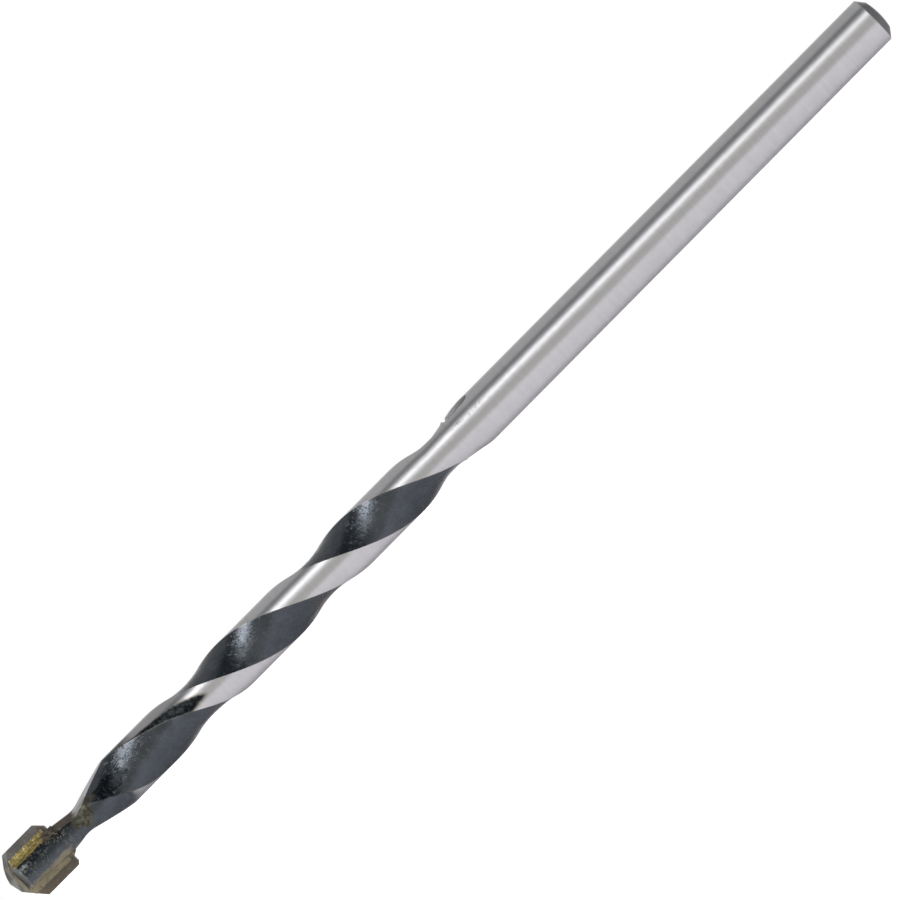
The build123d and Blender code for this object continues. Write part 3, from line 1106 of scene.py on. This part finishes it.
class DRILL_OT_braze(bpy.types.Operator):
    """Builds the braze that holds the plate, with its lumpy beads"""

    bl_idname = "drill.braze"
    bl_label = "Braze"

    def execute(self, context):
        own = settings()
        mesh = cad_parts["braze"].data.copy()
        mesh.name = "braze_beads"
        mesh.materials.clear()
        tidy_mesh(mesh, 1e-7)
        piece = add_object("braze_beads", mesh)
        reach = own.head.slot_half * REAR_BEAD_REACH
        for vert in mesh.vertices:
            if vert.co.x + own.body.overall / 2 > REAR_BEAD_END:
                vert.co.z = min(vert.co.z, AXIS_HEIGHT + reach)
        remesh = piece.modifiers.new("Even skin", "REMESH")
        remesh.mode = "VOXEL"
        remesh.voxel_size = own.braze.voxel
        remesh.use_smooth_shade = True
        settle(piece)
        apply_tree(piece, grain_tree("Lumpy braze", brass_braze(), False),
                   fine_height=own.braze.grain, coarse_height=own.braze.lump,
                   fine_per_mm=7.0, coarse_per_mm=2.2)
        piece.data.shade_smooth()
        finish_piece(piece, ["braze"])
        return {"FINISHED"}


# Half width of the floor, in metres
FLOOR_HALF = 3.0

# The softbox, as seen from the drill: its azimuth and elevation in degrees, its distance and its
# two sides in metres, and its colour
SOFTBOX_AZIMUTH, SOFTBOX_ELEVATION = -43.0, 39.5
SOFTBOX_DISTANCE, SOFTBOX_WIDE, SOFTBOX_HIGH = 0.5, 0.16, 0.42
SOFTBOX_COLOUR = (1.0, 0.995, 0.98)

# Lower edge of the front card: how far it lies before the drill and above the floor
FRONT_EDGE = (-4.6 * MM, 0.05 * MM)


def polar_point(distance, elevation):
    """A point beside the drill, at an elevation above the camera's side, in degrees."""
    turn = radians(elevation)
    return (-distance * cos(turn), AXIS_HEIGHT + distance * sin(turn))


def arc_profile(distance, low, high, step):
    """Profile of a card that stands round the drill, from one elevation to another."""
    return [polar_point(distance, elevation) for elevation in range(low, high, step)]


# Cards that only reflections see: profile, half length and middle along the drill, in metres,
# strength and colour
COOL = (0.82, 1.0, 1.08)
CARDS = {
    "Front card": ([FRONT_EDGE, polar_point(0.8, 17.0)], 1.2, 0.0, 0.67, (1.0, 1.0, 0.94)),
    "Fade card": (arc_profile(0.78, 16, 41, 4), 0.15, -0.02, 2.1, (1.0, 0.99, 0.96)),
    "Shade card": (arc_profile(0.78, 3, 20, 4), 0.5, 0.65, 0.12, COOL),
    "Dark card": (arc_profile(0.8, 17, 83, 5), 1.2, 0.0, 0.12, COOL),
    "Top card": (arc_profile(0.8, 82, 155, 6), 1.2, 0.0, 0.58, (1.0, 1.0, 0.985)),
}


def stage_piece(name, points, faces):
    """A piece of the studio, and the tree and output of its material."""
    mesh = bpy.data.meshes.new(name)
    mesh.from_pydata(points, [], faces)
    material = bpy.data.materials.new(name)
    material.use_nodes = True
    tree = material.node_tree
    tree.nodes.clear()
    mesh.materials.append(material)
    piece = add_object(name, mesh)
    return piece, tree, place(tree, "ShaderNodeOutputMaterial").inputs["Surface"]


def emission(tree, colour, power):
    return place(tree, "ShaderNodeEmission", {"Color": colour, "Strength": power}).outputs[0]


def add_card(name, profile, reach, middle, power, colour):
    """A studio card that only reflections see, run along the drill from its profile."""
    count = len(profile)
    points = [(side, y, z) for side in (middle - reach, middle + reach) for y, z in profile]
    faces = [(index, index + 1, count + index + 1, count + index) for index in range(count - 1)]
    card, tree, surface = stage_piece(name, points, faces)
    give(tree, surface, emission(tree, colour, power))
    for rays in ("camera", "diffuse", "shadow", "transmission"):
        setattr(card, f"visible_{rays}", False)


def seen_by(tree):
    """One for rays from the camera, and one for rays from a gloss or through glass."""
    path = place(tree, "ShaderNodeLightPath").outputs
    camera, glossy, through = [Term(tree, path[f"Is {kind} Ray"])
                               for kind in ("Camera", "Glossy", "Transmission")]
    return camera, glossy.most(through)


def add_world(ambient):
    """White behind everything that is seen, and even light from all sides."""
    world = bpy.data.worlds.new("Studio")
    bpy.context.scene.world = world
    world.use_nodes = True
    tree = world.node_tree
    background = tree.nodes["Background"].inputs
    camera, reflected = seen_by(tree)
    give(tree, background["Color"], (1.0, 1.0, 1.0))
    give(tree, background["Strength"], reflected.most(camera).between(ambient, 1.0))


def add_floor(studio, colour):
    """Pale floor that keeps the drill's shadow."""
    corners = [(-1, -1), (1, -1), (1, 1), (-1, 1)]
    points = [(x * FLOOR_HALF, y * FLOOR_HALF, 0.0) for x, y in corners]
    _, tree, surface = stage_piece("Floor", points, [(0, 1, 2, 3)])
    camera, reflected = seen_by(tree)
    white = camera * studio.floor_white + reflected * studio.floor_glow
    matt = place(tree, "ShaderNodeBsdfDiffuse", {"Color": colour}).outputs[0]
    glow = emission(tree, (1.0, 1.0, 1.0), white)
    give(tree, surface, place(tree, "ShaderNodeAddShader", {0: matt, 1: glow}).outputs[0])


def add_softbox(radiance):
    """An area lamp that faces the drill."""
    lamp = bpy.data.lights.new("Softbox", "AREA")
    lamp.shape = "RECTANGLE"
    lamp.size, lamp.size_y = SOFTBOX_WIDE, SOFTBOX_HIGH
    lamp.energy = radiance * SOFTBOX_WIDE * SOFTBOX_HIGH * pi
    lamp.color = SOFTBOX_COLOUR
    softbox = add_object("Softbox", lamp)
    side, lift = radians(SOFTBOX_AZIMUTH), radians(SOFTBOX_ELEVATION)
    direction = Vector((sin(side) * cos(lift), -cos(side) * cos(lift), sin(lift)))
    target = Vector((0.0, 0.0, AXIS_HEIGHT))
    softbox.matrix_world = Matrix.LocRotScale(target + direction * SOFTBOX_DISTANCE,
                                              direction.to_track_quat("Z", "X"), None)
    softbox.visible_camera = False


def add_camera(studio):
    """The camera, rolled so that the drill leans as it should."""
    lens = bpy.data.cameras.new("Camera")
    lens.sensor_width = 36.0
    lens.lens = lens.sensor_width * studio.distance / studio.view_width
    lens.clip_start, lens.clip_end = 0.01, 50.0
    camera = add_object("Camera", lens)
    right = Vector((cos(studio.roll), 0.0, -sin(studio.roll)))
    upward = Vector((sin(studio.roll), 0.0, cos(studio.roll)))
    back = Vector((0.0, -1.0, 0.0))
    middle = Vector((0.0, 0.0, AXIS_HEIGHT)) + right * studio.shift_right + upward * studio.shift_up
    turn = Matrix((right, upward, back)).transposed()
    camera.matrix_world = Matrix.Translation(middle + back * studio.distance) @ turn.to_4x4()
    bpy.context.scene.camera = camera


class DRILL_OT_studio(bpy.types.Operator):
    """Builds the floor, the soft light and the camera"""

    bl_idname = "drill.studio"
    bl_label = "Studio"

    def execute(self, context):
        own = settings()
        add_world(own.studio.ambient)
        add_floor(own.studio, tuple(own.colours.floor))
        add_softbox(own.studio.softbox)
        for name, card in CARDS.items():
            add_card(name, *card)
        add_camera(own.studio)
        context.scene.view_settings.view_transform = "Standard"
        return {"FINISHED"}


class DRILL_PT_panel(bpy.types.Panel):
    """Lists the drill's pieces and sizes"""

    bl_idname = "DRILL_PT_panel"
    bl_label = "Masonry drill"
    bl_space_type = "VIEW_3D"
    bl_region_type = "UI"
    bl_category = "Drill"

    def draw(self, context):
        layout = self.layout
        for operator in OPERATORS:
            layout.operator(operator.bl_idname)
        own = settings()
        for group in (own.body, own.head, own.plate, own.braze, own.colours, own.studio):
            box = layout.box()
            box.label(text=group.bl_rna.name)
            for name in group.__annotations__:
                box.prop(group, name)


OPERATORS = (DRILL_OT_body, DRILL_OT_plate, DRILL_OT_braze, DRILL_OT_studio)
CLASSES = (DrillBodySizes, DrillHeadSizes, DrillPlateSizes, DrillBrazeSizes, DrillColours,
           DrillStudio, DrillSettings, *OPERATORS, DRILL_PT_panel)


def register():
    for cls in CLASSES:
        bpy.utils.register_class(cls)
    bpy.types.Scene.masonry_drill = PointerProperty(type=DrillSettings)


def unregister():
    del bpy.types.Scene.masonry_drill
    for cls in reversed(CLASSES):
        bpy.utils.unregister_class(cls)


def main():
    register()
    bpy.ops.drill.body()
    bpy.ops.drill.plate()
    bpy.ops.drill.braze()
    bpy.ops.drill.studio()


if __name__ == "__main__":
    main()
